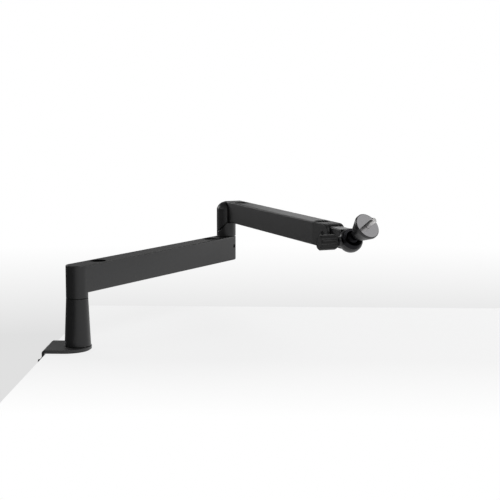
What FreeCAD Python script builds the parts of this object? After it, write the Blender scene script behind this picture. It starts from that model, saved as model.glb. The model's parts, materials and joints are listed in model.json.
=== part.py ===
import FreeCAD, Part
import math
import os
from FreeCAD import Placement, Rotation, Vector

# Low desk-clamp boom arm for a microphone. Millimetres, +Z up. The origin is on the desk top,
# on the axis of the column; +X runs in from the desk edge and +Y runs along that edge.

# Rest pose: headings are turned from +X about +Z
LOWER_HEADING = 61.6
UPPER_HEADING = -65.0
STEM_TURN = 16.0          # ball stem, to the left of the upper arm
STEM_RISE = 35.0          # ball stem, above level
DESK_T = 25.0             # desk top held in the clamp

# Clearances
RUN = 0.05                # radial, shaft turning in a bush
SNUG = 0.02               # radial, a piece pressed or glued in its seat
FREE = 0.3                # between pieces that move past each other
SEAT_GAP = 0.2            # magnet to strike plate

# Clamp plate and its pad
PLATE_W = 58.0
PLATE_T = 3.2
PLATE_TIP_LIP = 0.55      # plate beyond the foot of the column
PLATE_BEND_R = 3.5
EDGE_SETBACK = 33.5       # column axis to desk edge
FLANGE_DROP = 34.0
PAD_T = 1.0
PAD_INSET = 1.5

# Clamp jaw, screw and pressure plate
JAW_W = 44.0
JAW_T = 4.0
JAW_OVERLAP = 26.0        # jaw leg lying on the flange
JAW_REACH = 44.0          # desk edge to the tip of the jaw
DESK_MAX = 60.0
JAW_BOLT_R = 2.5
JAW_BOLT_PITCH_Y = 26.0
JAW_BOLT_PITCH_Z = 13.0
SCREW_R = 5.0
SCREW_SETBACK = 24.0      # desk edge to the screw axis
JOURNAL_R = 3.5
JOURNAL_LEN = 6.0
NUT_R = 9.0
NUT_H = 8.0
PRESS_R = 19.0
PRESS_T = 3.0
PRESS_BOSS_R = 9.0
PRESS_BOSS_H = 5.0
PRESS_PAD_T = 2.0
DESK_MIN = 15.0
HANDLE_SPARE = 1.0        # handle below the nut on the thinnest desk
HANDLE_R = 19.0
HANDLE_H = 20.0
HANDLE_LOBES = 8
HANDLE_LOBE_R = 5.0
HANDLE_SCREW_R = 2.5

# Column
COLUMN_FOOT_R = 15.25
COLUMN_H = 54.8
FOOT_RING_H = 0.8
FOOT_RING_INSET = 1.1
COLUMN_BORE_R = 10.0
BUSH_LEN = 14.0
SPINDLE_R = 8.0
COLUMN_SCREW_R = 1.7
COLUMN_SCREW_LEN = 12.0
COLUMN_SCREWS = 4
WASHER_T = 1.0
WASHER_INSET = 1.2

# Lower arm
LOWER_REACH = 326.5       # column axis to elbow axis
LOWER_W = 25.5
LOWER_H = 32.0
ARM_WALL = 2.5
ARM_FLOOR = 3.0
ARM_SKIN = 2.5
EDGE_R = 1.2
COLLAR_H = 5.7
BOSS_END = 7.5            # solid end of the arm, beyond the round end's radius
CABLE_HOLE_R = 10.0
LOWER_HOLE_SETBACK = 40.0
CABLE_ENTRY_R = 8.0       # hole in the underside, below the first cable hole
HOLE_LIP = 0.8            # skin left at the rim of a cable hole
HOLE_RELIEF = 2.0         # pocket under the skin, beyond the rim
COVER_T = 2.0
COVER_LEDGE = 1.2         # wall that the cover rests on
COVER_SETBACK = 14.0      # centre of a cable hole to the end of the cover
MAGNET_R = 2.5
MAGNET_H = 3.0
MAGNET_BOSS = 7.0
MAGNET_SETBACK = 18.0     # end of the cover to the magnets
STRIKE_T = 0.8

# Elbow
HINGE_RISE = 33.6         # top of the lower arm to the tilt axis
ELBOW_SPINDLE_R = 7.0
ELBOW_BUSH_WALL = 2.0
ELBOW_WASHER_T = 0.8
RETAINER_R = 10.0
RETAINER_T = 2.0
RETAINER_POCKET_H = 6.0
ELBOW_BOLT_R = 3.0
ELBOW_BOLT_LEN = 16.0
GRUB_R = 2.5
GRUB_SINK = 1.0
GRUB_Z = 18.7             # underside of the lower arm to the set screw
EAR_FACE = 3.35           # elbow axis to the ear's inner face
TILT_GAP = 1.5            # ear to upper arm
TILT_DOWN = 5.0           # relief in the post for the arm's lowest tilt
TILT_RELIEF = 0.5
EAR_CROWN_R = 13.3        # the ear's domed top, about the tilt axis
EAR_HEEL = 7.0            # tilt axis down to where the ear stands on the post's full width
EAR_GROOVE_W = 1.6        # groove that runs down and out from the ear's inner face
EAR_GROOVE_D = 2.0
EAR_GROOVE_START = 13.0
EAR_GROOVE_DROP = 13.0
TILT_BOLT_R = 4.0
TILT_THREAD_LEN = 7.0
FRICTION_R = 11.0
FRICTION_T = 2.0
TILT_BUSH_WALL = 1.5
TILT_POCKET_R = 10.0
TILT_WALL = 9.8           # arm wall that the tilt bush fills
SPRING_R = 8.0
SPRING_T = 1.5
SPRINGS = 2
TILT_HEAD_R = 7.0
TILT_HEAD_H = 5.0
TILT_CAP_T = 2.0

# Upper arm
UPPER_REACH = 351.0       # elbow axis to ball centre
UPPER_W = 23.1
UPPER_H = 27.2
HEAD_REACH = 75.0         # end of the metal arm to the ball centre
UPPER_HOLE_X = 31.0       # elbow axis to the first cable hole
UPPER_HOLE_R = 9.0
CHANNEL_START = 19.0      # elbow axis to the cable channel
COVER_TO_CAP = 4.0        # end of the cover to the cap's spigot

# End cap and neck
CAP_LEN = 41.0
CAP_SPIGOT = 14.0
CAP_HOLE_PAST = 1.0       # end of the metal arm to the centre of the last cable hole
CAP_ROOF_EDGE = 1.0       # front edge of the roof over the neck
CAP_DUCT_H = 15.0
NECK_W = 15.0
NECK_H = 22.0
NECK_BOLT_LAND = 0.9      # cross bolt to the root of the neck
NECK_BOLT_R = 3.0
NECK_BOLT_HEAD_R = 5.0
NECK_BOLT_HEAD_H = 3.0
CAP_SCREW_R = 1.5
CAP_SCREW_LEN = 6.0

# Ball head
BALL_R = 9.5
BALL_DROP = 0.8           # ball centre below the middle of the arm
BALL_SWING = 25.0         # stem off the cup's axis, any way
CUP_RISE = 35.0           # cup's axis above level
HOUSING_R = 13.6
HOUSING_FRONT = 3.6       # ball centre to the front of the housing, along the cup's axis
RETAINING_RING_FRONT = 8.0
RETAINING_THREAD_T = 2.1
RETAINING_THREAD_R = 11.2
SEAT_RING_FRONT = 4.4     # behind the ball centre
SEAT_RING_BACK = 6.5
BALL_BORE_R = 9.7
STEM_R = 3.5
STEM_END = 24.0           # from the ball centre
DISC_R = 15.1
DISC_FACE = 33.0          # ball centre to the face that the microphone sits on
DISC_RIM_T = 3.2
DISC_PLATE_T = 1.2
DISC_PLATE_INSET = 0.8
DISC_FLARE = 18.0         # ball centre to where the hub opens into the disc
DISC_FLARE_R = 10.2
DISC_HUB_START = 12.6
DISC_HUB_R = 7.2
STUD_R = 3.175
STUD_LEN = 13.0
STUD_UNDERCUT = 0.5       # plain groove between the disc and the thread
STUD_ROOT = 6.5           # stud below the disc's face
STUD_ROOT_R = 2.6

# Ball lock
LOCK_SETBACK = 1.3        # lock axis behind the ball centre, along the cup's axis
SHOE_R = 2.5
SHOE_LEN = 3.3
SHOE_LIFT = 0.3           # shoe off the ball when released
LOCK_SCREW_R = 3.0
LOCK_BOSS_R = 6.0
LOCK_BOSS_END = 16.0      # from the ball centre
KNOB_R = 8.6
KNOB_LEN = 22.5
KNOB_RIDGES = 10
KNOB_GROOVE_R = 2.0
KNOB_CAP_R = 6.0
KNOB_CAP_T = 1.5
LOCK_SCREW_GRIP = 14.0    # screw inside the knob

# Levels and places worked out from the sizes
PLATE_TOP = PAD_T + PLATE_T
COLUMN_BASE = PLATE_TOP + FOOT_RING_H
COLUMN_TOP = COLUMN_BASE + COLUMN_H
LOWER_BASE = COLUMN_TOP + WASHER_T + COLLAR_H
ARM_R = LOWER_W / 2
KNUCKLE_R = UPPER_H / 2
ARM_FACE_Y = TILT_GAP - EAR_FACE
ARM_MID_Y = ARM_FACE_Y + UPPER_W / 2
BALL = Vector(UPPER_REACH, ARM_MID_Y, -BALL_DROP)
UPPER_TUBE_END = UPPER_REACH - HEAD_REACH
NECK_BOLT_X = UPPER_TUBE_END + CAP_LEN - KNUCKLE_R
NECK_ROOT = NECK_BOLT_X - NECK_BOLT_R - NECK_BOLT_LAND
LAST_HOLE_X = UPPER_TUBE_END + CAP_HOLE_PAST
JAW_TOP = -(DESK_MAX + PRESS_PAD_T + PRESS_T + PRESS_BOSS_H + FREE)
SCREW_X = SCREW_SETBACK - EDGE_SETBACK

X = Vector(1, 0, 0)
Y = Vector(0, 1, 0)
Z = Vector(0, 0, 1)


def rod(radius, start, end, axis=Z, x=0, y=0, z=0):
    """A cylinder on an axis through (x, y, z), from start to end along it."""
    return Part.makeCylinder(radius, end - start, Vector(x, y, z) + axis * start, axis)


def ring(outer, inner, start, end, axis=Z, x=0, y=0, z=0):
    """A tube: the outer rod less the inner one."""
    over = 1.0
    hole = rod(inner, start - over, end + over, axis, x, y, z)
    return rod(outer, start, end, axis, x, y, z).cut(hole)


def block(x0, x1, y0, y1, z0, z1):
    """A box between two corners."""
    return Part.makeBox(x1 - x0, y1 - y0, z1 - z0, Vector(x0, y0, z0))


def turned(*points):
    """A solid turned about Z from (radius, height) points."""
    loop = [Vector(r, 0, z) for r, z in points]
    face = Part.Face(Part.makePolygon(loop + loop[:1]))
    return face.revolve(Vector(0, 0, 0), Z, 360)


def hexagon(flat_r, start, end, x=0, y=0):
    """A hexagon bar along Z, flat_r from axis to flat."""
    corner = flat_r / math.cos(math.pi / 6)
    turns = [math.radians(60 * k) for k in range(7)]
    loop = [Vector(x + corner * math.cos(a), y + corner * math.sin(a), start) for a in turns]
    return Part.Face(Part.makePolygon(loop)).extrude(Z * (end - start))


def joined(*shapes):
    """One solid from several that overlap."""
    return shapes[0].multiFuse(list(shapes[1:])).removeSplitter()


def group(shapes):
    """Several separate solids kept as one node."""
    return Part.makeCompound(list(shapes))


def turned_to(shape, axis):
    """A shape made along Z, turned to lie along another axis."""
    copy = shape.copy()
    copy.Placement = Placement(Vector(0, 0, 0), Rotation(Z, axis)).multiply(copy.Placement)
    return copy


def moved(shape, x=0, y=0, z=0):
    """A copy of a shape, shifted."""
    copy = shape.copy()
    copy.translate(Vector(x, y, z))
    return copy


def placed(shape, placement):
    """A copy of a shape carried from its own frame into another."""
    copy = shape.copy()
    copy.Placement = placement.multiply(copy.Placement)
    return copy


# Clamp

def tongue(start, middle, half, z0, z1):
    """A flat strip along X from start, with a half-round tip about middle."""
    disc = rod(half, z0, z1, x=middle)
    tip = disc.common(block(middle, middle + half, -half, half, z0, z1))
    return joined(block(start, middle, -half, half, z0, z1), tip)


def clamp_plate():
    """Top plate with a round tip, bent down over the desk edge."""
    half = PLATE_W / 2
    tip = COLUMN_FOOT_R + PLATE_TIP_LIP
    middle = tip - half
    outside = -EDGE_SETBACK - PLATE_T
    top = tongue(outside, middle, half, PAD_T, PLATE_TOP)
    flange = block(outside, -EDGE_SETBACK, -half, half, -FLANGE_DROP, PLATE_TOP)
    plate = joined(top, flange)
    bend = [e for e in plate.Edges if on_line(e, outside, PLATE_TOP)]
    plate = plate.makeFillet(PLATE_BEND_R, bend)
    for x, y in column_screw_places():
        plate = plate.cut(rod(COLUMN_SCREW_R + FREE, PAD_T, PLATE_TOP, x=x, y=y))
        plate = plate.cut(screw_head(x, y, FREE / 2))
    for y, z in jaw_bolt_places():
        plate = plate.cut(rod(JAW_BOLT_R + SNUG, outside, -EDGE_SETBACK, X, y=y, z=z))
    return plate


def on_line(edge, x, z):
    """True for a straight edge that runs along Y at this x and z."""
    near = 1e-6
    ends = [v.Point for v in edge.Vertexes]
    return len(ends) == 2 and all(abs(p.x - x) < near and abs(p.z - z) < near for p in ends)


def column_screw_places():
    """Screws stand in the middle of the column's foot wall, between the axes."""
    reach = (COLUMN_FOOT_R + COLUMN_BORE_R) / 2
    turns = [math.radians(360 * (k + 0.5) / COLUMN_SCREWS) for k in range(COLUMN_SCREWS)]
    return [(reach * math.cos(a), reach * math.sin(a)) for a in turns]


def screw_head(x, y, spare=0.0):
    """Countersunk head flush with the underside of the plate."""
    wide = 2 * COLUMN_SCREW_R + spare
    deep = PLATE_T * 0.6
    return Part.makeCone(wide, COLUMN_SCREW_R, deep, Vector(x, y, PAD_T), Z)


def column_screws():
    """Countersunk screws up through the plate into the column."""
    screws = []
    for x, y in column_screw_places():
        shank = rod(COLUMN_SCREW_R, PAD_T, PAD_T + COLUMN_SCREW_LEN, x=x, y=y)
        screws.append(joined(shank, screw_head(x, y)))
    return group(screws)


def plate_pad():
    """Rubber sheet glued under the plate."""
    half = PLATE_W / 2 - PAD_INSET
    middle = COLUMN_FOOT_R + PLATE_TIP_LIP - PLATE_W / 2
    return tongue(PAD_INSET - EDGE_SETBACK, middle, half, 0, PAD_T)


def jaw_bolt_places():
    """Rectangle of bolts through the jaw's leg, as (y, z)."""
    middle = JAW_OVERLAP / 2 - FLANGE_DROP
    dy, dz = JAW_BOLT_PITCH_Y / 2, JAW_BOLT_PITCH_Z / 2
    return [(y, middle + z) for y in (-dy, dy) for z in (-dz, dz)]


def clamp_jaw():
    """Bent bracket: a leg on the outside of the flange and a jaw under the desk."""
    half = JAW_W / 2
    face = -EDGE_SETBACK - PLATE_T
    outside = face - JAW_T
    tip = JAW_REACH - EDGE_SETBACK
    leg = block(outside, face, -half, half, JAW_TOP - JAW_T, JAW_OVERLAP - FLANGE_DROP)
    jaw = block(outside, tip, -half, half, JAW_TOP - JAW_T, JAW_TOP)
    gussets = []
    rise = JAW_REACH / 2
    for y in (-half, half - JAW_T):
        heel = Vector(face, y, JAW_TOP)
        corner = [heel, heel + X * rise, heel + Z * rise]
        gussets.append(Part.Face(Part.makePolygon(corner + corner[:1])).extrude(Y * JAW_T))
    bracket = joined(leg, jaw, *gussets)
    bend = [e for e in bracket.Edges if on_line(e, outside, JAW_TOP - JAW_T)]
    bracket = bracket.makeFillet(JAW_T, bend)
    for y, z in jaw_bolt_places():
        bracket = bracket.cut(rod(JAW_BOLT_R + FREE, outside, face, X, y=y, z=z))
    return bracket.cut(rod(SCREW_R + FREE, JAW_TOP - JAW_T, JAW_TOP, x=SCREW_X))


def jaw_bolts():
    """Button-head bolts that hold the jaw to the flange."""
    face = -EDGE_SETBACK - PLATE_T - JAW_T
    head_r, head_h = 2 * JAW_BOLT_R, 1.2 * JAW_BOLT_R
    bolts = []
    for y, z in jaw_bolt_places():
        shank = rod(JAW_BOLT_R, face, -EDGE_SETBACK - FREE, X, y=y, z=z)
        head = rod(head_r, face - head_h, face, X, y=y, z=z)
        socket = turned_to(hexagon(JAW_BOLT_R * 0.6, 0, head_h / 2), X)
        bolts.append(joined(shank, head).cut(moved(socket, face - head_h, y, z)))
    return group(bolts)


def jaw_nut():
    """Hexagon nut welded under the jaw, which the clamp screw runs in."""
    base = JAW_TOP - JAW_T
    nut = hexagon(NUT_R, base - NUT_H, base, x=SCREW_X)
    return nut.cut(rod(SCREW_R + RUN, base - NUT_H, base, x=SCREW_X))


PRESS_TOP = -DESK_T - PRESS_PAD_T
PRESS_BASE = PRESS_TOP - PRESS_T - PRESS_BOSS_H
HANDLE_TOP = JAW_TOP - JAW_T - NUT_H - HANDLE_SPARE - (DESK_T - DESK_MIN)


def pressure_plate():
    """Round plate with a boss that the end of the screw turns in."""
    dish = rod(PRESS_R, PRESS_TOP - PRESS_T, PRESS_TOP, x=SCREW_X)
    boss = rod(PRESS_BOSS_R, PRESS_BASE, PRESS_TOP - PRESS_T, x=SCREW_X)
    socket = rod(JOURNAL_R + RUN, PRESS_BASE, PRESS_BASE + JOURNAL_LEN + FREE, x=SCREW_X)
    return joined(dish, boss).cut(socket)


def pressure_pad():
    """Rubber disc on the pressure plate, against the underside of the desk."""
    return rod(PRESS_R, PRESS_TOP, PRESS_TOP + PRESS_PAD_T, x=SCREW_X)


def clamp_screw():
    """Clamp screw with a plain journal at its top end."""
    shoulder = PRESS_BASE - FREE
    grip = HANDLE_TOP - HANDLE_H * 0.7
    shaft = rod(SCREW_R, grip, shoulder, x=SCREW_X)
    return joined(shaft, rod(JOURNAL_R, shoulder, PRESS_BASE + JOURNAL_LEN, x=SCREW_X))


def clamp_handle():
    """Lobed hand knob at the foot of the clamp screw."""
    base = HANDLE_TOP - HANDLE_H
    grip = rod(HANDLE_R, base, HANDLE_TOP)
    reach = HANDLE_R + HANDLE_LOBE_R * 0.35
    for k in range(HANDLE_LOBES):
        a = 2 * math.pi * k / HANDLE_LOBES
        x, y = reach * math.cos(a), reach * math.sin(a)
        grip = grip.cut(rod(HANDLE_LOBE_R, base, HANDLE_TOP, x=x, y=y))
    grip = grip.cut(rod(SCREW_R + SNUG, HANDLE_TOP - HANDLE_H * 0.7, HANDLE_TOP))
    grip = grip.cut(rod(HANDLE_SCREW_R + SNUG, base, HANDLE_TOP))
    grip = grip.cut(rod(2 * HANDLE_SCREW_R + FREE, base, base + HANDLE_SCREW_R))
    return moved(grip, x=SCREW_X)


def handle_screw():
    """Cap screw that holds the handle on the clamp screw, its head sunk in the handle."""
    base = HANDLE_TOP - HANDLE_H
    grip = HANDLE_TOP - HANDLE_H * 0.7
    head = rod(2 * HANDLE_SCREW_R, base, base + HANDLE_SCREW_R)
    screw = joined(head, rod(HANDLE_SCREW_R, base + HANDLE_SCREW_R, grip))
    return moved(screw.cut(hexagon(HANDLE_SCREW_R * 0.6, base, base + HANDLE_SCREW_R * 0.6)), x=SCREW_X)


# Column

def column():
    """Tapered column with a through bore for its bushes."""
    taper = Part.makeCone(COLUMN_FOOT_R, ARM_R, COLUMN_H, Vector(0, 0, COLUMN_BASE), Z)
    post = taper.cut(rod(COLUMN_BORE_R, COLUMN_BASE, COLUMN_TOP))
    for x, y in column_screw_places():
        post = post.cut(rod(COLUMN_SCREW_R + SNUG, COLUMN_BASE, PAD_T + COLUMN_SCREW_LEN + FREE, x=x, y=y))
    return post


def column_foot_ring():
    """Dark ring set back between the plate and the column."""
    foot = ring(COLUMN_FOOT_R - FOOT_RING_INSET, COLUMN_BORE_R, PLATE_TOP, COLUMN_BASE)
    for x, y in column_screw_places():
        foot = foot.cut(rod(COLUMN_SCREW_R + SNUG, PLATE_TOP, COLUMN_BASE, x=x, y=y))
    return foot


def column_bush(base):
    """Plastic bush in the column's bore, in which the arm's spindle turns."""
    return ring(COLUMN_BORE_R - SNUG, SPINDLE_R + RUN, base, base + BUSH_LEN)


def swivel_washer():
    """Thin thrust washer between the column and the arm."""
    return ring(ARM_R - WASHER_INSET, SPINDLE_R + FREE, COLUMN_TOP, COLUMN_TOP + WASHER_T)


# Lower arm, made along X with its underside at z = 0 and the column axis at x = 0

SPINDLE_SEAT = LOWER_H * 0.65
LOWER_CHANNEL = (ARM_R + BOSS_END, LOWER_REACH - ARM_R - BOSS_END)
LOWER_HOLES = (LOWER_HOLE_SETBACK, LOWER_REACH - LOWER_HOLE_SETBACK)
LOWER_COVER_SPAN = (LOWER_HOLES[0] + COVER_SETBACK, LOWER_HOLES[1] - COVER_SETBACK)
UPPER_COVER_SPAN = (UPPER_HOLE_X + COVER_SETBACK, UPPER_TUBE_END - CAP_SPIGOT - COVER_TO_CAP)


def magnet_places(span, half, middle):
    """Two pairs of magnets near the ends of a cover, as (x, y)."""
    xs = (span[0] + MAGNET_SETBACK, span[1] - MAGNET_SETBACK)
    reach = half - MAGNET_BOSS / 2
    return [(x, middle + side * reach) for x in xs for side in (-1, 1)]


def cable_hole(radius, half, x, middle, top):
    """Round hole in the top of an arm, with the skin thinned to a lip from below."""
    reach = radius + HOLE_RELIEF
    pocket = block(x - reach, x + reach, middle - half, middle + half, top - ARM_SKIN, top - HOLE_LIP)
    return joined(pocket, rod(radius, top - ARM_SKIN, top, x=x, y=middle))


def magnet_posts(places, floor, top):
    """Square posts on the channel's floor, bored for the magnets."""
    half = MAGNET_BOSS / 2
    over = 0.5
    posts = []
    for x, y in places:
        post = block(x - half, x + half, y - half - over, y + half + over, floor - over, top)
        posts.append(post.cut(rod(MAGNET_R + SNUG, top - MAGNET_H, top, x=x, y=y)))
    return posts


def magnets(places, top):
    """Round magnets, flush with the tops of their posts."""
    return group(rod(MAGNET_R, top - MAGNET_H, top, x=x, y=y) for x, y in places)


def strike_plates(places, top):
    """Steel plates on the inside of a cover, which the magnets hold."""
    half = MAGNET_BOSS / 2 - FREE
    plates = []
    for x, y in places:
        plates.append(block(x - 2 * half, x + 2 * half, y - half, y + half, top - STRIKE_T, top))
    return group(plates)


def cover_seat(span, half, middle, top):
    """Opening in the top of an arm, with a ledge that the cover rests on."""
    wide = half + COVER_LEDGE
    opening = block(*span, middle - half, middle + half, top - ARM_SKIN, top)
    return joined(opening, block(*span, middle - wide, middle + wide, top - COVER_T, top))


def cover(span, half, middle, top):
    """Strip that closes a cable channel, flush with the top of the arm."""
    wide = half + COVER_LEDGE - FREE
    return block(span[0] + FREE, span[1] - FREE, middle - wide, middle + wide, top - COVER_T, top)


LOWER_INNER = ARM_R - ARM_WALL
LOWER_MAGNETS = magnet_places(LOWER_COVER_SPAN, LOWER_INNER, 0)
MAGNET_DROP = COVER_T + STRIKE_T + SEAT_GAP


def lower_arm():
    """Long arm with round ends, a collar over the column and a cable channel under its top."""
    bar = joined(block(0, LOWER_REACH, -ARM_R, ARM_R, 0, LOWER_H), rod(ARM_R, 0, LOWER_H),
                 rod(ARM_R, 0, LOWER_H, x=LOWER_REACH))
    rims = [e for e in bar.Edges if abs(e.tangentAt(e.FirstParameter).z) < 0.1]
    bar = bar.makeFillet(EDGE_R, rims)
    bar = joined(bar, rod(ARM_R, -COLLAR_H, 2 * EDGE_R))
    channel = block(*LOWER_CHANNEL, -LOWER_INNER, LOWER_INNER, ARM_FLOOR, LOWER_H - ARM_SKIN)
    for post in magnet_posts(LOWER_MAGNETS, ARM_FLOOR, LOWER_H - MAGNET_DROP):
        channel = channel.cut(post)
    bar = bar.cut(channel)
    bar = bar.cut(cover_seat(LOWER_COVER_SPAN, LOWER_INNER, 0, LOWER_H))
    for x in LOWER_HOLES:
        bar = bar.cut(cable_hole(CABLE_HOLE_R, LOWER_INNER, x, 0, LOWER_H))
    bar = bar.cut(rod(CABLE_ENTRY_R, 0, ARM_FLOOR, x=LOWER_HOLES[0]))
    bar = bar.cut(rod(SPINDLE_R + SNUG, -COLLAR_H, SPINDLE_SEAT))
    bush_r = ELBOW_SPINDLE_R + ELBOW_BUSH_WALL + SNUG
    bar = bar.cut(rod(bush_r, 0, LOWER_H, x=LOWER_REACH))
    bar = bar.cut(rod(RETAINER_R + FREE, 0, RETAINER_POCKET_H, x=LOWER_REACH))
    return bar.cut(rod(GRUB_R + SNUG, -ARM_R, 0, Y, x=LOWER_REACH, z=GRUB_Z))


def base_spindle():
    """Steel spindle pressed into the collar, which hangs in the column's bushes."""
    foot = COLUMN_BASE + FREE - LOWER_BASE
    return rod(SPINDLE_R, foot, SPINDLE_SEAT)


def elbow_bush():
    """Plastic bush in the arm's elbow end."""
    outer = ELBOW_SPINDLE_R + ELBOW_BUSH_WALL
    return ring(outer, ELBOW_SPINDLE_R + RUN, RETAINER_POCKET_H, LOWER_H, x=LOWER_REACH)


def elbow_set_screw():
    """Grub screw in the side of the arm that tightens the bush on the spindle."""
    inner = ELBOW_SPINDLE_R + ELBOW_BUSH_WALL
    flat = math.sqrt((inner + SNUG) ** 2 - GRUB_R ** 2)
    start = -ARM_R + GRUB_SINK
    grub = rod(GRUB_R, start, -flat, Y, x=LOWER_REACH, z=GRUB_Z)
    grub = grub.cut(rod(inner + SNUG, 0, LOWER_H, x=LOWER_REACH))
    socket = turned_to(hexagon(GRUB_R * 0.55, 0, GRUB_R * 0.7), Y)
    return grub.cut(moved(socket, LOWER_REACH, start, GRUB_Z))


def elbow_washer():
    """Dark thrust washer between the lower arm and the elbow post."""
    outer = ARM_R - WASHER_INSET
    return ring(outer, ELBOW_SPINDLE_R + FREE, LOWER_H, LOWER_H + ELBOW_WASHER_T, x=LOWER_REACH)


# Elbow and upper arm, made along X with the tilt axis along Y through the elbow axis

POST_FOOT = ELBOW_WASHER_T - HINGE_RISE
SPINDLE_FOOT = RETAINER_POCKET_H - FREE - LOWER_H - HINGE_RISE


def elbow_post():
    """Post that turns on the lower arm, with a domed ear and a web behind it for the tilt hinge."""
    over = 1.0
    reach = 4 * ARM_R
    clear = KNUCKLE_R + TILT_RELIEF
    ear = rod(KNUCKLE_R, -ARM_R, ARM_R, Y)
    web = block(-ARM_R, 0, -ARM_R, ARM_R, POST_FOOT, 0)
    foot = block(-ARM_R, ARM_R, -ARM_R, ARM_R, POST_FOOT, -EAR_HEEL)
    crown = Part.makeSphere(EAR_CROWN_R)
    below = rod(ARM_R, POST_FOOT, 0)
    post = rod(ARM_R, POST_FOOT, KNUCKLE_R).common(joined(ear, web, foot))
    post = post.common(joined(crown, below))
    low = math.radians(TILT_DOWN)
    touch = Vector(-clear * math.sin(low), -EAR_FACE, -clear * math.cos(low))
    front = touch + Vector(math.cos(low), 0, -math.sin(low)) * reach
    relief = [touch, front, Vector(front.x, -EAR_FACE, reach), Vector(-reach, -EAR_FACE, reach),
              Vector(-reach, -EAR_FACE, touch.z)]
    post = post.cut(Part.Face(Part.makePolygon(relief + relief[:1])).extrude(Y * reach))
    half = EAR_GROOVE_W / 2
    groove = block(0, ARM_R, 0, reach, -half, half)
    fall = math.degrees(math.atan2(EAR_GROOVE_DROP, ARM_R - EAR_FACE))
    start = Vector(0, -EAR_FACE, -EAR_GROOVE_START)
    groove = placed(groove, Placement(start, Rotation(X, 180 + fall)))
    core = rod(ARM_R - EAR_GROOVE_D, POST_FOOT, 0)
    post = post.cut(groove.cut(core))
    post = joined(post, rod(ELBOW_SPINDLE_R, SPINDLE_FOOT, POST_FOOT + over))
    post = post.cut(rod(ELBOW_BOLT_R + SNUG, SPINDLE_FOOT, SPINDLE_FOOT + ELBOW_BOLT_LEN + FREE))
    return post.cut(rod(TILT_BOLT_R + SNUG, -EAR_FACE - TILT_THREAD_LEN, -EAR_FACE, Y))


def elbow_retainer():
    """Steel washer under the arm that keeps the post's spindle in."""
    return ring(RETAINER_R, ELBOW_BOLT_R + SNUG, SPINDLE_FOOT - RETAINER_T, SPINDLE_FOOT)


def elbow_bolt():
    """Button-head bolt through the retainer into the spindle."""
    under = SPINDLE_FOOT - RETAINER_T
    head_h = RETAINER_POCKET_H - RETAINER_T - 3 * FREE
    head = rod(2 * ELBOW_BOLT_R, under - head_h, under)
    bolt = joined(head, rod(ELBOW_BOLT_R, under, SPINDLE_FOOT + ELBOW_BOLT_LEN))
    return bolt.cut(hexagon(ELBOW_BOLT_R * 0.65, under - head_h, under - head_h / 2))


HEAD_START = ARM_FACE_Y + TILT_WALL + SPRINGS * SPRING_T


def tilt_bolt():
    """Shoulder bolt of the tilt hinge, screwed into the ear, its head inside the arm."""
    shank = rod(TILT_BOLT_R, -EAR_FACE - TILT_THREAD_LEN, HEAD_START, Y)
    head = rod(TILT_HEAD_R, HEAD_START, HEAD_START + TILT_HEAD_H, Y)
    socket = turned_to(hexagon(TILT_BOLT_R * 0.75, 0, TILT_HEAD_H), Y)
    return joined(shank, head).cut(moved(socket, y=HEAD_START + TILT_HEAD_H / 2))


FRICTION_SEAT = FRICTION_T - EAR_FACE


def tilt_friction_washer():
    """Friction washer between the ear and the arm."""
    return ring(FRICTION_R, TILT_BOLT_R + FREE, -EAR_FACE, FRICTION_SEAT, Y)


def tilt_bush():
    """Bush in the arm's knuckle that turns on the tilt bolt."""
    return ring(TILT_BOLT_R + TILT_BUSH_WALL, TILT_BOLT_R + RUN, FRICTION_SEAT, ARM_FACE_Y + TILT_WALL, Y)


def tilt_springs():
    """Disc springs under the bolt's head that press the hinge together."""
    start = ARM_FACE_Y + TILT_WALL
    return group(ring(SPRING_R, TILT_BOLT_R + FREE, start + k * SPRING_T, start + (k + 1) * SPRING_T, Y)
                 for k in range(SPRINGS))


def tilt_cap():
    """Round cap that closes the hinge pocket on the far side of the arm."""
    outside = ARM_FACE_Y + UPPER_W
    return rod(TILT_POCKET_R - SNUG, outside - TILT_CAP_T, outside, Y)


UPPER_INNER = UPPER_W / 2 - ARM_WALL
UPPER_MAGNETS = magnet_places(UPPER_COVER_SPAN, UPPER_INNER, ARM_MID_Y)
UPPER_MAGNET_TOP = KNUCKLE_R - MAGNET_DROP


def upper_arm():
    """Upper arm with a round knuckle and a cable channel that is open at its far end."""
    left = ARM_FACE_Y + UPPER_W
    bar = joined(block(0, UPPER_TUBE_END, ARM_FACE_Y, left, -KNUCKLE_R, KNUCKLE_R),
                 rod(KNUCKLE_R, ARM_FACE_Y, left, Y))
    rims = [e for e in bar.Edges if is_side_rim(e, UPPER_TUBE_END)]
    bar = bar.makeFillet(EDGE_R, rims)
    inside = (ARM_MID_Y - UPPER_INNER, ARM_MID_Y + UPPER_INNER)
    floor = ARM_FLOOR - KNUCKLE_R
    channel = block(CHANNEL_START, UPPER_TUBE_END, *inside, floor, KNUCKLE_R - ARM_SKIN)
    for post in magnet_posts(UPPER_MAGNETS, floor, UPPER_MAGNET_TOP):
        channel = channel.cut(post)
    bar = bar.cut(channel)
    bar = bar.cut(cover_seat(UPPER_COVER_SPAN, UPPER_INNER, ARM_MID_Y, KNUCKLE_R))
    for x in (UPPER_HOLE_X, LAST_HOLE_X):
        bar = bar.cut(cable_hole(UPPER_HOLE_R, UPPER_INNER, x, ARM_MID_Y, KNUCKLE_R))
    bar = bar.cut(rod(FRICTION_R + FREE, ARM_FACE_Y, FRICTION_SEAT, Y))
    bar = bar.cut(rod(TILT_BOLT_R + TILT_BUSH_WALL + SNUG, ARM_FACE_Y, left, Y))
    bar = bar.cut(rod(TILT_POCKET_R, ARM_FACE_Y + TILT_WALL, left, Y))
    for x, y in cap_screw_places():
        bar = bar.cut(rod(CAP_SCREW_R + SNUG, -KNUCKLE_R, floor, x=x, y=y))
    return bar


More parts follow.
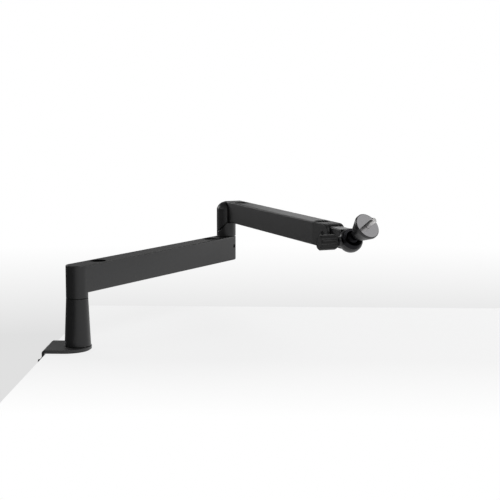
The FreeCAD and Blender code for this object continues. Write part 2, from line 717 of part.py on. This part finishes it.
def is_side_rim(edge, end_x):
    """True for an edge round a side face, but not at the arm's square end."""
    near = 1e-6
    start = edge.tangentAt(edge.FirstParameter)
    at_end = all(abs(v.Point.x - end_x) < near for v in edge.Vertexes)
    return abs(start.y) < 0.1 and not at_end


def cap_screw_places():
    """Two screws under the arm that hold the end cap's spigot."""
    reach = UPPER_INNER / 2
    return [(UPPER_TUBE_END - CAP_SPIGOT / 2, ARM_MID_Y + side * reach) for side in (-1, 1)]


def end_cap():
    """Cap with two round cheeks and a short roof over the neck, and half of the last cable hole."""
    left = ARM_FACE_Y + UPPER_W
    seam = UPPER_TUBE_END
    body = joined(block(seam, NECK_BOLT_X, ARM_FACE_Y, left, -KNUCKLE_R, KNUCKLE_R),
                  rod(KNUCKLE_R, ARM_FACE_Y, left, Y, x=NECK_BOLT_X))
    rims = [e for e in body.Edges if is_side_rim(e, seam)]
    body = body.makeFillet(EDGE_R, rims)
    half = UPPER_INNER - FREE / 2
    spigot = block(seam - CAP_SPIGOT, seam, ARM_MID_Y - half, ARM_MID_Y + half,
                   ARM_FLOOR - KNUCKLE_R, KNUCKLE_R - ARM_SKIN - FREE)
    body = joined(body, spigot)
    duct = CAP_DUCT_H / 2
    neck = NECK_W / 2
    duct_end = NECK_ROOT - FREE
    body = body.cut(block(seam - CAP_SPIGOT, duct_end, ARM_MID_Y - neck, ARM_MID_Y + neck, -duct, duct))
    body = body.cut(rod(UPPER_HOLE_R, 0, KNUCKLE_R, x=LAST_HOLE_X, y=ARM_MID_Y))
    slot = (ARM_MID_Y - neck - SNUG, ARM_MID_Y + neck + SNUG)
    tip = seam + CAP_LEN
    roof = NECK_H / 2 + FREE
    roof_end = NECK_BOLT_X + math.sqrt(KNUCKLE_R ** 2 - (roof + CAP_ROOF_EDGE) ** 2)
    body = body.cut(block(NECK_ROOT, tip, *slot, -KNUCKLE_R, roof))
    body = body.cut(block(roof_end, tip, *slot, 0, KNUCKLE_R))
    body = body.cut(rod(NECK_BOLT_R + SNUG, ARM_FACE_Y, left, Y, x=NECK_BOLT_X))
    head = NECK_BOLT_HEAD_R + FREE
    body = body.cut(rod(head, ARM_FACE_Y, ARM_FACE_Y + NECK_BOLT_HEAD_H, Y, x=NECK_BOLT_X))
    for x, y in cap_screw_places():
        body = body.cut(rod(CAP_SCREW_R + SNUG, ARM_FLOOR - KNUCKLE_R, CAP_SCREW_LEN - KNUCKLE_R, x=x, y=y))
    return body


def end_cap_screws():
    """Set screws up through the arm's floor into the spigot."""
    top = CAP_SCREW_LEN - KNUCKLE_R
    return group(rod(CAP_SCREW_R, -KNUCKLE_R, top, x=x, y=y) for x, y in cap_screw_places())


def neck_bolt():
    """Cross bolt through the cheeks and the root of the neck."""
    x = NECK_BOLT_X
    seat = ARM_FACE_Y + NECK_BOLT_HEAD_H
    shank = rod(NECK_BOLT_R, seat, ARM_FACE_Y + UPPER_W - EDGE_R, Y, x=x)
    head = rod(NECK_BOLT_HEAD_R, ARM_FACE_Y + FREE, seat, Y, x=x)
    socket = turned_to(hexagon(NECK_BOLT_R * 0.7, 0, NECK_BOLT_HEAD_H / 2), Y)
    return joined(shank, head).cut(moved(socket, x, ARM_FACE_Y + FREE, 0))


# Ball head; the cup's axis rises from the arm, and the lock axis crosses it along -Y behind the ball centre

CUP = Placement(BALL, Rotation(Y, -CUP_RISE))
LOCK = CUP.multVec(Vector(-LOCK_SETBACK, 0, 0))
THREAD_BACK = HOUSING_FRONT - RETAINING_THREAD_T
SHOE_BACK = BALL_R + SHOE_LIFT + SHOE_LEN


def cup_rod(radius, back, front):
    """A rod on the cup's axis, between two distances from the ball centre."""
    return placed(rod(radius, back, front, X), CUP)


def lock_rod(radius, near, far):
    """A rod on the lock axis, between two distances from the ball centre."""
    return rod(radius, near, far, -Y, x=LOCK.x, y=LOCK.y, z=LOCK.z)


def ball_housing():
    """Neck and round cup for the ball, with a boss for the lock screw on its right side."""
    bx = UPPER_REACH
    half_w, half_h = NECK_W / 2, NECK_H / 2
    root = NECK_ROOT
    neck = block(root, bx - BALL_R, ARM_MID_Y - half_w, ARM_MID_Y + half_w, -half_h, half_h)
    corners = [e for e in neck.Edges if abs(e.tangentAt(e.FirstParameter).x) > 0.9]
    corners += [e for e in neck.Edges if on_line(e, root, half_h) or on_line(e, root, -half_h)]
    neck = neck.makeFillet(EDGE_R, corners)
    cup = Part.makeSphere(HOUSING_R, BALL)
    body = joined(neck, cup, lock_rod(LOCK_BOSS_R, BALL_R, LOCK_BOSS_END))
    body = body.cut(cup_rod(HOUSING_R, HOUSING_FRONT, 2 * HOUSING_R))
    body = body.cut(Part.makeSphere(BALL_R + FREE, BALL))
    body = body.cut(cup_rod(BALL_BORE_R, -SEAT_RING_BACK, HOUSING_FRONT))
    body = body.cut(cup_rod(RETAINING_THREAD_R + SNUG, THREAD_BACK, HOUSING_FRONT))
    body = body.cut(lock_rod(SHOE_R + RUN, 0, SHOE_BACK + FREE))
    body = body.cut(lock_rod(LOCK_SCREW_R + RUN, SHOE_BACK + FREE, LOCK_BOSS_END))
    return body.cut(rod(NECK_BOLT_R + SNUG, ARM_MID_Y - NECK_W, ARM_MID_Y + NECK_W, Y, x=NECK_BOLT_X))


def ball_retaining_ring():
    """Screwed ring that keeps the ball in its cup and carries on the cup's round outside."""
    swing = math.radians(BALL_SWING)
    hole = RETAINING_RING_FRONT * math.tan(swing) + STEM_R / math.cos(swing) + FREE
    zone = cup_rod(HOUSING_R, HOUSING_FRONT, RETAINING_RING_FRONT)
    cap = Part.makeSphere(HOUSING_R, BALL).common(zone)
    cap = joined(cap, cup_rod(RETAINING_THREAD_R, THREAD_BACK, HOUSING_FRONT))
    cap = cap.cut(Part.makeSphere(BALL_R + RUN, BALL))
    return cap.cut(cup_rod(hole, 0, RETAINING_RING_FRONT))


def ball_seat():
    """Slippery seat ring behind the ball."""
    seat = cup_rod(BALL_BORE_R - RUN, -SEAT_RING_BACK, -SEAT_RING_FRONT)
    return seat.cut(Part.makeSphere(BALL_R + RUN, BALL))


def brake_shoe():
    """Small shoe that the lock screw presses on the ball."""
    shoe = lock_rod(SHOE_R, 0, SHOE_BACK)
    return shoe.cut(Part.makeSphere(BALL_R + SHOE_LIFT, BALL))


KNOB_START = LOCK_BOSS_END + FREE
KNOB_END = KNOB_START + KNOB_LEN


def lock_knob():
    """Ridged round knob on the lock screw."""
    waist = KNOB_LEN * 0.15
    ease = 0.8
    knob = turned((0, 0), (KNOB_R * 0.7, 0), (KNOB_R, waist), (KNOB_R, KNOB_LEN - ease),
                  (KNOB_R - ease, KNOB_LEN), (0, KNOB_LEN))
    reach = KNOB_R + KNOB_GROOVE_R * 0.4
    for k in range(KNOB_RIDGES):
        a = 2 * math.pi * k / KNOB_RIDGES
        knob = knob.cut(rod(KNOB_GROOVE_R, 0, KNOB_LEN, x=reach * math.cos(a), y=reach * math.sin(a)))
    knob = knob.cut(rod(LOCK_SCREW_R + SNUG, 0, LOCK_SCREW_GRIP))
    knob = knob.cut(rod(KNOB_CAP_R + SNUG, KNOB_LEN - KNOB_CAP_T, KNOB_LEN))
    return moved(turned_to(knob, -Y), LOCK.x, LOCK.y - KNOB_START, LOCK.z)


def lock_knob_cap():
    """Round plug in the knob's end face."""
    return lock_rod(KNOB_CAP_R, KNOB_END - KNOB_CAP_T, KNOB_END - FREE / 2)


def lock_screw():
    """Screw moulded into the knob, which pushes the brake shoe."""
    return lock_rod(LOCK_SCREW_R, SHOE_BACK + FREE, KNOB_START + LOCK_SCREW_GRIP)


# Ball, disc and stud, made along Z from the ball centre

def ball_stem():
    """Ball with its stem, as one turned piece."""
    stem = rod(STEM_R, 0, STEM_END)
    return joined(Part.makeSphere(BALL_R), stem)


def mount_disc():
    """Round platform with a flared back, on the end of the stem."""
    seat = DISC_FACE - DISC_PLATE_T
    rim_back = DISC_FACE - DISC_RIM_T
    ease = 0.4
    disc = turned((0, DISC_HUB_START), (DISC_HUB_R - ease, DISC_HUB_START),
                  (DISC_HUB_R, DISC_HUB_START + ease), (DISC_FLARE_R, DISC_FLARE), (DISC_R, rim_back),
                  (DISC_R, DISC_FACE - ease), (DISC_R - ease, DISC_FACE), (0, DISC_FACE))
    disc = disc.cut(rod(STEM_R + RUN, DISC_HUB_START, STEM_END + FREE))
    disc = disc.cut(rod(DISC_R - DISC_PLATE_INSET, seat, DISC_FACE))
    return disc.cut(rod(STUD_ROOT_R + SNUG, DISC_FACE - STUD_ROOT, DISC_FACE))


def disc_plate():
    """Satin metal plate let into the face of the disc."""
    outer = DISC_R - DISC_PLATE_INSET - SNUG
    return ring(outer, STUD_ROOT_R + SNUG, DISC_FACE - DISC_PLATE_T, DISC_FACE)


def mount_stud():
    """Threaded stud that the microphone's mount screws on."""
    tip = DISC_FACE + STUD_LEN
    ease = STUD_R * 0.2
    root = DISC_FACE - STUD_ROOT
    thread = DISC_FACE + STUD_UNDERCUT
    return turned((0, root), (STUD_ROOT_R, root), (STUD_ROOT_R, thread), (STUD_R, thread),
                  (STUD_R, tip - ease), (STUD_R - ease, tip), (0, tip))


GROUND = Placement()
LOWER = Placement(Vector(0, 0, LOWER_BASE), Rotation(Z, LOWER_HEADING))
ELBOW = LOWER.multVec(Vector(LOWER_REACH, 0, LOWER_H + HINGE_RISE))
UPPER = Placement(ELBOW, Rotation(Z, UPPER_HEADING))
STEM = UPPER.multiply(Placement(BALL, Rotation(Z, STEM_TURN).multiply(Rotation(Y, 90 - STEM_RISE))))

NODES = [
    (GROUND, {
        "clamp_plate": clamp_plate(),
        "plate_pad": plate_pad(),
        "clamp_jaw": clamp_jaw(),
        "jaw_bolts": jaw_bolts(),
        "jaw_nut": jaw_nut(),
        "pressure_plate": pressure_plate(),
        "pressure_pad": pressure_pad(),
        "clamp_screw": clamp_screw(),
        "clamp_handle": clamp_handle(),
        "handle_screw": handle_screw(),
        "column": column(),
        "column_foot_ring": column_foot_ring(),
        "column_screws": column_screws(),
        "column_bush_lower": column_bush(COLUMN_BASE),
        "column_bush_upper": column_bush(COLUMN_TOP - BUSH_LEN),
        "swivel_washer": swivel_washer(),
    }),
    (LOWER, {
        "lower_arm": lower_arm(),
        "base_spindle": base_spindle(),
        "lower_arm_magnets": magnets(LOWER_MAGNETS, LOWER_H - MAGNET_DROP),
        "lower_cable_cover": cover(LOWER_COVER_SPAN, LOWER_INNER, 0, LOWER_H),
        "lower_cover_strikes": strike_plates(LOWER_MAGNETS, LOWER_H - COVER_T),
        "elbow_bush": elbow_bush(),
        "elbow_set_screw": elbow_set_screw(),
        "elbow_washer": elbow_washer(),
    }),
    (UPPER, {
        "elbow_post": elbow_post(),
        "elbow_retainer": elbow_retainer(),
        "elbow_bolt": elbow_bolt(),
        "tilt_bolt": tilt_bolt(),
        "tilt_friction_washer": tilt_friction_washer(),
        "tilt_bush": tilt_bush(),
        "tilt_springs": tilt_springs(),
        "tilt_cap": tilt_cap(),
        "upper_arm": upper_arm(),
        "upper_arm_magnets": magnets(UPPER_MAGNETS, UPPER_MAGNET_TOP),
        "upper_cable_cover": cover(UPPER_COVER_SPAN, UPPER_INNER, ARM_MID_Y, KNUCKLE_R),
        "upper_cover_strikes": strike_plates(UPPER_MAGNETS, KNUCKLE_R - COVER_T),
        "end_cap": end_cap(),
        "end_cap_screws": end_cap_screws(),
        "neck_bolt": neck_bolt(),
        "ball_housing": ball_housing(),
        "ball_retaining_ring": ball_retaining_ring(),
        "ball_seat": ball_seat(),
        "brake_shoe": brake_shoe(),
        "lock_knob": lock_knob(),
        "lock_knob_cap": lock_knob_cap(),
        "lock_screw": lock_screw(),
    }),
    (STEM, {
        "ball_stem": ball_stem(),
        "mount_disc": mount_disc(),
        "disc_plate": disc_plate(),
        "mount_stud": mount_stud(),
    }),
]

os.makedirs("parts", exist_ok=True)
for placement, nodes in NODES:
    for name, shape in nodes.items():
        placed(shape, placement).exportStep(f"parts/{name}.step")
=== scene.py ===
"""Low desk-clamp microphone arm: finishes, cut threads, desk, light and camera around its CAD frame.

Lengths are in metres in the frame's own axes: the origin is on the desk top, on the column's axis,
+X runs in from the desk edge, +Y along that edge and +Z up.
"""
import json
import math

import bpy
import numpy as np
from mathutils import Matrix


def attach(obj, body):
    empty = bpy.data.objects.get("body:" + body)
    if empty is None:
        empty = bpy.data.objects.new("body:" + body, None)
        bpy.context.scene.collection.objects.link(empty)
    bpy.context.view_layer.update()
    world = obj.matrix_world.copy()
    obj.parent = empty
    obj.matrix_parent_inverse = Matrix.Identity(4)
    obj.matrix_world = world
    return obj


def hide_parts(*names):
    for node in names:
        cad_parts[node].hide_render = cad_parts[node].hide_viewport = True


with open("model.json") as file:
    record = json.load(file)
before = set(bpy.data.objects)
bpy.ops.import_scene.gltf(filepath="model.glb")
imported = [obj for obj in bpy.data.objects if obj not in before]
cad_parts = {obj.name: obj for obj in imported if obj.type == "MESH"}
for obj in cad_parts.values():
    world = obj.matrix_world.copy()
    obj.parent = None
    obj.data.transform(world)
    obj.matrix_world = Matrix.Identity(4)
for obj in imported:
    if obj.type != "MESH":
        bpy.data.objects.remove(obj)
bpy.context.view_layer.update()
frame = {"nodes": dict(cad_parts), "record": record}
scene = bpy.context.scene
MM = 0.001


# Shader nodes

def linear(code):
    """sRGB hex to linear RGBA: c / 12.92 in the darkest part, else ((c + 0.055) / 1.055) to 2.4."""
    c = np.array([int(code[k:k + 2], 16) for k in (1, 3, 5)]) / 255
    rgb = np.where(c <= 0.04045, c / 12.92, ((c + 0.055) / 1.055) ** 2.4)
    return (*rgb.tolist(), 1.0)


def put(tree, kind, sockets=None, **settings):
    """Adds a node, gives it its settings, and fills its sockets with values or links."""
    node = tree.nodes.new(kind)
    for name, value in settings.items():
        setattr(node, name, value)
    for name, value in (sockets or {}).items():
        if isinstance(value, bpy.types.NodeSocket):
            tree.links.new(value, node.inputs[name])
        else:
            node.inputs[name].default_value = value
    return node


def per_mm(size):
    """Texture scale in features per metre, for a feature of this many millimetres."""
    return 1 / (size * MM)


def noise(tree, place, size, detail):
    """Cloudy noise with features of this many millimetres."""
    sockets = {"Vector": place, "Scale": per_mm(size), "Detail": detail}
    return put(tree, "ShaderNodeTexNoise", sockets).outputs["Fac"]


def between(tree, factor, low, high):
    """A colour that goes from one sRGB hex code to another as the factor goes from 0 to 1."""
    sockets = {"Factor": factor, "A": linear(low), "B": linear(high)}
    return put(tree, "ShaderNodeMix", sockets, data_type="RGBA").outputs["Result"]


def ramp(tree, value, span, ends, **settings):
    """Goes from one end to the other while the value crosses the span, and stays level outside it."""
    sockets = {"Value": value, "From Min": span[0], "From Max": span[1], "To Min": ends[0], "To Max": ends[1]}
    return put(tree, "ShaderNodeMapRange", sockets, **settings).outputs["Result"]


def combine(tree, operation, first, second):
    """One arithmetic step between two sockets."""
    return put(tree, "ShaderNodeMath", {0: first, 1: second}, operation=operation).outputs["Value"]


def looked_at(tree, ray):
    """1 for a ray from the camera, from a reflection or through glass, and 0 for one that only lights."""
    seen = combine(tree, "MAXIMUM", ray["Is Camera Ray"], ray["Is Glossy Ray"])
    return combine(tree, "MAXIMUM", seen, ray["Is Transmission Ray"])


# Finishes

def blank(name):
    """A node material with a shader and an output, and the tree's Object coordinates."""
    material = bpy.data.materials.new(name)
    material.use_nodes = True
    tree = material.node_tree
    tree.nodes.clear()
    shader = put(tree, "ShaderNodeBsdfPrincipled")
    put(tree, "ShaderNodeOutputMaterial", {"Surface": shader.outputs["BSDF"]})
    return material, tree, shader, put(tree, "ShaderNodeTexCoord").outputs["Object"]


def dress(tree, shader, tone, rough, height, strength, depth):
    """Gives a shader its colour and its roughness, and a bump of this many millimetres."""
    bump = put(tree, "ShaderNodeBump", {"Height": height, "Strength": strength, "Distance": depth * MM})
    tree.links.new(tone, shader.inputs["Base Color"])
    tree.links.new(rough, shader.inputs["Roughness"])
    tree.links.new(bump.outputs["Normal"], shader.inputs["Normal"])


def powder_coat(name, low, high, peel, rough):
    """Baked powder coat: tones that drift over 45 mm, and an orange peel that breaks up the satin sheen.

    Real orange peel is about 0.4 mm across, too fine to show, so it is drawn coarser, at peel mm.
    """
    material, tree, shader, place = blank(name)
    tone = between(tree, noise(tree, place, 45, detail=3.0), low, high)
    skin = noise(tree, place, peel, detail=2.0)
    sheen = ramp(tree, skin, (0.3, 0.7), (rough - 0.04, rough + 0.04))
    dress(tree, shader, tone, sheen, skin, strength=0.3, depth=0.05)
    return material


def moulded(name, low, high, spark, depth, rough):
    """Moulded plastic or rubber: pitted all over by the spark-eroded mould, matt in the pits.

    The pits are about 0.1 mm across on a real mould and are drawn coarser, at spark mm. The tone
    follows the flow of the melt, in patches of 14 mm.
    """
    material, tree, shader, place = blank(name)
    tone = between(tree, noise(tree, place, 14, detail=2.0), low, high)
    cells = put(tree, "ShaderNodeTexVoronoi", {"Vector": place, "Scale": per_mm(spark)}, feature="SMOOTH_F1")
    pits = cells.outputs["Distance"]
    matt = ramp(tree, pits, (0.0, 0.7), (rough + 0.06, rough - 0.06))
    dress(tree, shader, tone, matt, pits, strength=0.4, depth=depth)
    # The pits swallow part of the gloss, so moulded pieces look blacker than paint of the same tone
    shader.inputs["Specular IOR Level"].default_value = 0.33
    return material


def plated_metal(name, low, high, rough):
    """Plated or blackened metal: plating with 5 mm clouds over 0.4 mm tool marks that vary its gloss."""
    material, tree, shader, place = blank(name)
    tone = between(tree, noise(tree, place, 5, detail=3.0), low, high)
    marks = noise(tree, place, 0.4, detail=2.0)
    gloss = ramp(tree, marks, (0.3, 0.7), (rough - 0.05, rough + 0.05))
    dress(tree, shader, tone, gloss, marks, strength=0.15, depth=0.01)
    shader.inputs["Metallic"].default_value = 1.0
    return material


FINISH = {
    # Charcoal powder coat on extruded aluminium: satin, soft edges of light along the arms
    "arm_paint": powder_coat("powder_coated_aluminium", "#1E1E1F", "#232324", peel=0.9, rough=0.44),
    # The same coat on the covers, from another batch and hardly lighter
    "cover_paint": powder_coat("powder_coated_aluminium_lid", "#1F1F20", "#242425", peel=0.9, rough=0.44),
    # The same coat on pressed steel, a shade lighter, so the clamp stands out from the arms
    "clamp_paint": powder_coat("powder_coated_steel", "#2B2B2C", "#2F2F30", peel=1.0, rough=0.44),
    # Charcoal enamel on zinc castings: closer and smoother, so it shines along a curve
    "joint_paint": powder_coat("enamelled_zinc_casting", "#18181A", "#1C1C1D", peel=1.2, rough=0.38),
    # Glass-filled nylon: darker and flatter than the paint beside it
    "cap_plastic": moulded("glass_filled_nylon", "#131314", "#171718", spark=0.6, depth=0.04, rough=0.54),
    # Satin-moulded grip: darker than the paint, with soft lines of light on its ridges
    "knob_plastic": moulded("moulded_abs_grip", "#09090A", "#0D0D0E", spark=0.6, depth=0.02, rough=0.50),
    # Natural nylon: off-white and waxy
    "bush_nylon": moulded("natural_nylon", "#D4D0C2", "#DFDBCE", spark=0.6, depth=0.02, rough=0.42),
    # Black acetal: slippery and dull
    "washer_plastic": moulded("black_acetal", "#0C0C0C", "#111111", spark=0.6, depth=0.02, rough=0.50),
    # Black rubber: dead matt, and matter still in its pits
    "black_rubber": moulded("black_nitrile_rubber", "#0F0F0F", "#181818", spark=0.7, depth=0.07, rough=0.84),
    # Satin anodised plate under the stud: an even pale grey that shows the stud's dark reflection
    "plate_alloy": plated_metal("satin_anodised_aluminium", "#B4B3B5", "#BBBABC", rough=0.16),
    # Black oxide on steel: dark, with an oily gleam
    "black_steel": plated_metal("black_oxide_steel", "#1D1D1F", "#252527", rough=0.36),
    # Bright zinc on turned steel: a silvery grey gleam
    "bright_steel": plated_metal("zinc_plated_steel", "#A8A8A9", "#B8B8BA", rough=0.30),
    # Chrome on the stud: mirror-like, light and dark along its length
    "stud_chrome": plated_metal("chrome_plated_steel", "#D6D5D4", "#E2E1E0", rough=0.10),
    # Nickel on the magnets: bright and slightly warm
    "magnet_nickel": plated_metal("nickel_plated_magnet", "#BDB9AF", "#C9C5BC", rough=0.24),
}

for part in frame["record"]["subparts"]:
    for material_slot in frame["nodes"][part["node"]].material_slots:
        material_slot.material = FINISH[part["material_slot"]]


# Cut threads

def threaded(profile, thread, pitch, origin, axis, ring=40, row=0.13 * MM):
    """A threaded rod: a profile turned about a line, with a V groove that climbs round it.

    The profile's (height, radius) corners are walked at even steps, so each row has a height h and a
    radius R. At angle a the surface stands at R less depth(h) times the triangle wave of
    h / pitch - a / (2 pi), which is 0 on a crest and 1 in a root. depth is read off the thread's
    (height, depth) points. The rows start and end on the axis, so both ends are closed.
    """
    h, r = np.array(profile).T
    walk = np.concatenate([[0], np.cumsum(np.hypot(np.diff(h), np.diff(r)))])
    t = np.unique(np.concatenate([walk, np.arange(0, walk[-1], row)]))
    height, radius = np.interp(t, walk, h), np.interp(t, walk, r)
    depth = np.interp(height, *np.array(thread).T) * (radius > 0)
    a = np.linspace(0, 2 * np.pi, ring, endpoint=False)
    wave = np.abs(2 * np.mod(height[:, None] / pitch - a / (2 * np.pi), 1) - 1)
    reach = radius[:, None] - depth[:, None] * wave
    along = np.array(axis) / np.linalg.norm(axis)
    side = np.cross(along, [0, 1, 0])
    side = side / np.linalg.norm(side)
    across = np.cross(along, side)
    spokes = np.cos(a)[:, None] * side + np.sin(a)[:, None] * across
    return np.array(origin) + height[:, None, None] * along + reach[:, :, None] * spokes


def lathe_faces(rows, ring):
    """Quads between neighbouring rows of a closed ring, wound so that they face outwards."""
    i, j = np.meshgrid(np.arange(rows - 1), np.arange(ring), indexing="ij")
    k = (j + 1) % ring
    corners = [i * ring + j, i * ring + k, (i + 1) * ring + k, (i + 1) * ring + j]
    return np.stack(corners, axis=-1).reshape(-1, 4)


def screw_piece(name, points, slot, body, node):
    """Puts a ring-by-ring surface into a mesh that stands for a CAD node and rides on its body."""
    rows, ring = points.shape[:2]
    mesh = bpy.data.meshes.new(name)
    mesh.from_pydata(points.reshape(-1, 3), [], lathe_faces(rows, ring))
    mesh.materials.append(FINISH[slot])
    piece = bpy.data.objects.new(name, mesh)
    scene.collection.objects.link(piece)
    merge = piece.modifiers.new("close the ends", "WELD")
    merge.merge_threshold = 0.001 * MM
    mesh.shade_smooth()
    mesh.set_sharp_from_angle(angle=math.radians(50))
    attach(piece, body)
    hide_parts(node)


# Stud: its root sits in the platform, and a quarter-inch thread of 20 to the inch stands on the plate
BALL_CENTRE = np.array([312.4215, -26.8094, 131.3]) * MM
STUD_AXIS = (0.537412, -0.618222, 0.573576)
STUD_PITCH = 1.27 * MM
STUD_PROFILE = np.array([(26.5, 0), (26.5, 2.6), (33.5, 2.6), (33.5, 3.175),
                         (45.365, 3.175), (46.0, 2.54), (46.0, 0)]) * MM
# Cut shallower than a real thread, so that the stud keeps the long bright lines of polished plating
STUD_THREAD = np.array([(26.5, 0), (33.6, 0), (34.6, 0.1), (45.0, 0.1), (46.0, 0)]) * MM
screw_piece("stud_thread", threaded(STUD_PROFILE, STUD_THREAD, STUD_PITCH, BALL_CENTRE, STUD_AXIS),
            "stud_chrome", "platform", "mount_stud")

# Clamp screw: a 10 mm thread of 1.5 mm pitch below a plain journal, and a plain end inside the handle
CLAMP_FOOT = np.array([-9.5, 0, 0]) * MM
CLAMP_AXIS = (0, 0, 1)
CLAMP_PITCH = 1.5 * MM
CLAMP_PROFILE = np.array([(-107.3, 0), (-107.3, 5.0), (-36.0, 5.0), (-35.3, 4.3),
                          (-35.3, 3.5), (-29.4, 3.5), (-29.0, 3.1), (-29.0, 0)]) * MM
CLAMP_THREAD = np.array([(-107.3, 0), (-94.0, 0), (-92.0, 0.8), (-38.0, 0.8), (-36.2, 0)]) * MM
screw_piece("clamp_screw_thread", threaded(CLAMP_PROFILE, CLAMP_THREAD, CLAMP_PITCH, CLAMP_FOOT, CLAMP_AXIS),
            "bright_steel", "clamp_screw", "clamp_screw")


# Desk

def desk_slab(edge, far, near, end, thick, ease, drop, steps=6):
    """A desk top: its rounded outline across the edge, carried straight along the edge.

    The outline runs up the front, round a quarter circle of radius ease, back along the top and home
    underneath; the first and last outlines are the closed ends. All of it lies lower by the drop.
    """
    turn = np.linspace(np.pi, np.pi / 2, steps)
    x = np.concatenate([[edge], edge + ease + ease * np.cos(turn), [far, far]])
    z = np.concatenate([[-thick], ease * np.sin(turn) - ease, [0, -thick]]) - drop
    y = np.array([near, end])
    count = len(x)
    points = np.stack([np.tile(x, 2), np.repeat(y, count), np.tile(z, 2)], axis=-1)
    j = np.arange(count)
    k = (j + 1) % count
    sides = np.stack([j, k, k + count, j + count], axis=-1)
    return points, sides.tolist() + [j[::-1].tolist(), (j + count).tolist()]


def laminate_and_painted_glow():
    """White melamine laminate: pale, very slightly mottled over 30 mm, with a soft sheen; to the camera it is
    mostly a painted white glow that grows towards the front.
    """
    material, tree, shader, place = blank("white_laminate_with_painted_glow")
    tone = between(tree, noise(tree, place, 30, detail=4.0), "#ECECED", "#EFEFF0")
    tree.links.new(tone, shader.inputs["Base Color"])
    shader.inputs["Roughness"].default_value = 0.45
    shader.inputs["Specular IOR Level"].default_value = 0.25
    # To the camera the top is mostly a painted white glow, all of it near the front, where it paints in
    # brighter light, so that shadows stay faint
    seen = looked_at(tree, put(tree, "ShaderNodeLightPath").outputs)
    along = put(tree, "ShaderNodeSeparateXYZ", {"Vector": place}).outputs["Y"]
    # Painted light: the glow's share rises from 0.8 at the back to 1.0 at the front
    painted_glow_share = combine(tree, "MULTIPLY", seen, ramp(tree, along, (-0.3, -0.05), (1.0, 0.8)))
    painted_glow = put(tree, "ShaderNodeEmission", {"Color": linear("#FFFFFF"), "Strength": 1.0})
    both = put(tree, "ShaderNodeMixShader", {0: painted_glow_share, 1: shader.outputs["BSDF"], 2: painted_glow.outputs["Emission"]})
    tree.links.new(both.outputs["Shader"], tree.nodes["Material Output"].inputs["Surface"])
    return material


# The far end is where the photo shows the desk's back edge; the drop keeps the top clear of the rubber pad
points, faces = desk_slab(edge=-33.4 * MM, far=3.0, near=-1.7, end=0.294, thick=24.8 * MM, ease=2.0 * MM,
                          drop=0.05 * MM)
desk_mesh = bpy.data.meshes.new("desk_top")
desk_mesh.from_pydata(points, [], faces)
desk_mesh.materials.append(laminate_and_painted_glow())
desk = bpy.data.objects.new("desk_top", desk_mesh)
scene.collection.objects.link(desk)


# Light

def soft_box(name, place, aim, width, height, power):
    """An area lamp that stands at a place, faces a point and stays out of the picture."""
    lamp = bpy.data.lights.new(name, "AREA")
    lamp.shape = "RECTANGLE"
    lamp.size, lamp.size_y, lamp.energy = width, height, power
    holder = bpy.data.objects.new(name, lamp)
    scene.collection.objects.link(holder)
    away = np.array(aim) - np.array(place)
    flat = math.hypot(away[0], away[1])
    holder.location = place
    holder.rotation_euler = (math.pi / 2 + math.atan2(away[2], flat), 0, math.atan2(-away[0], away[1]))
    holder.visible_camera = False


MIDDLE = (0.15, 0.1, 0.1)
soft_box("key_from_the_right", (1.5, -0.7, 1.6), MIDDLE, width=1.2, height=1.2, power=16)
soft_box("fill_from_the_left", (-1.6, -0.9, 1.2), MIDDLE, width=1.0, height=1.4, power=5)
soft_box("back_light_from_the_left", (-0.6, 0.8, 0.37), (0.155, 0.28, 0.13), width=0.4, height=0.3, power=2.0)
soft_box("side_light_on_the_right", (0.80, 0.75, 0.22), (0.12, 0.2, 0.1), width=0.35, height=0.3, power=1.0)
soft_box("back_light_on_the_right", (0.45, 1.1, 0.45), (0.25, 0.1, 0.13), width=0.6, height=0.35, power=0.78)


def studio(name):
    """The room round the desk: white to the camera, and dimmer in the part's light and gloss."""
    world = bpy.data.worlds.new(name)
    world.use_nodes = True
    sky = world.node_tree
    sky.nodes.clear()
    way = put(sky, "ShaderNodeTexCoord").outputs["Generated"]
    up = put(sky, "ShaderNodeSeparateXYZ", {"Vector": way}).outputs["Z"]
    ray = put(sky, "ShaderNodeLightPath").outputs
    # The wall that the camera sees is white above the desk, and the floor below it is pale grey
    wall = between(sky, ramp(sky, up, (-0.19, -0.125), (0.0, 1.0)), "#E0E0E0", "#FFFFFF")
    # The room is bright on the right and dim on the left; its unlit ceiling draws a dark line on the stud
    right = put(sky, "ShaderNodeVectorMath", {0: way, 1: (0.90, 0.0, 0.44)}, operation="DOT_PRODUCT")
    sides = ramp(sky, right.outputs["Value"], (-0.5, 0.8), (0.11, 0.60), interpolation_type="SMOOTHSTEP")
    room = combine(sky, "MULTIPLY", sides, ramp(sky, up, (0.7, 0.88), (1.0, 0.1)))
    shade = put(sky, "ShaderNodeMix", {"Factor": ray["Is Camera Ray"], "A": room, "B": wall},
                data_type="RGBA")
    # Rays that only light the part see the room at little more than half strength
    level = ramp(sky, looked_at(sky, ray), (0.0, 1.0), (0.55, 1.0))
    glow = put(sky, "ShaderNodeBackground", {"Color": shade.outputs["Result"], "Strength": level})
    put(sky, "ShaderNodeOutputWorld", {"Surface": glow.outputs["Background"]})
    return world


scene.world = studio("studio")


# Camera, fitted to the straight edges in the photo; it looks down and a little to the left
EYE_PLACE = (0.2593, -1.4995, 0.3123)
EYE_DOWN, EYE_LEFT = math.radians(7.43), math.radians(2.3)
eye = bpy.data.cameras.new("camera")
eye.sensor_width = 36.0
eye.lens = 95.65
camera = bpy.data.objects.new("camera", eye)
scene.collection.objects.link(camera)
camera.location = EYE_PLACE
camera.rotation_euler = (math.pi / 2 - EYE_DOWN, 0, EYE_LEFT)
scene.camera = camera
scene.view_settings.view_transform = "Standard"
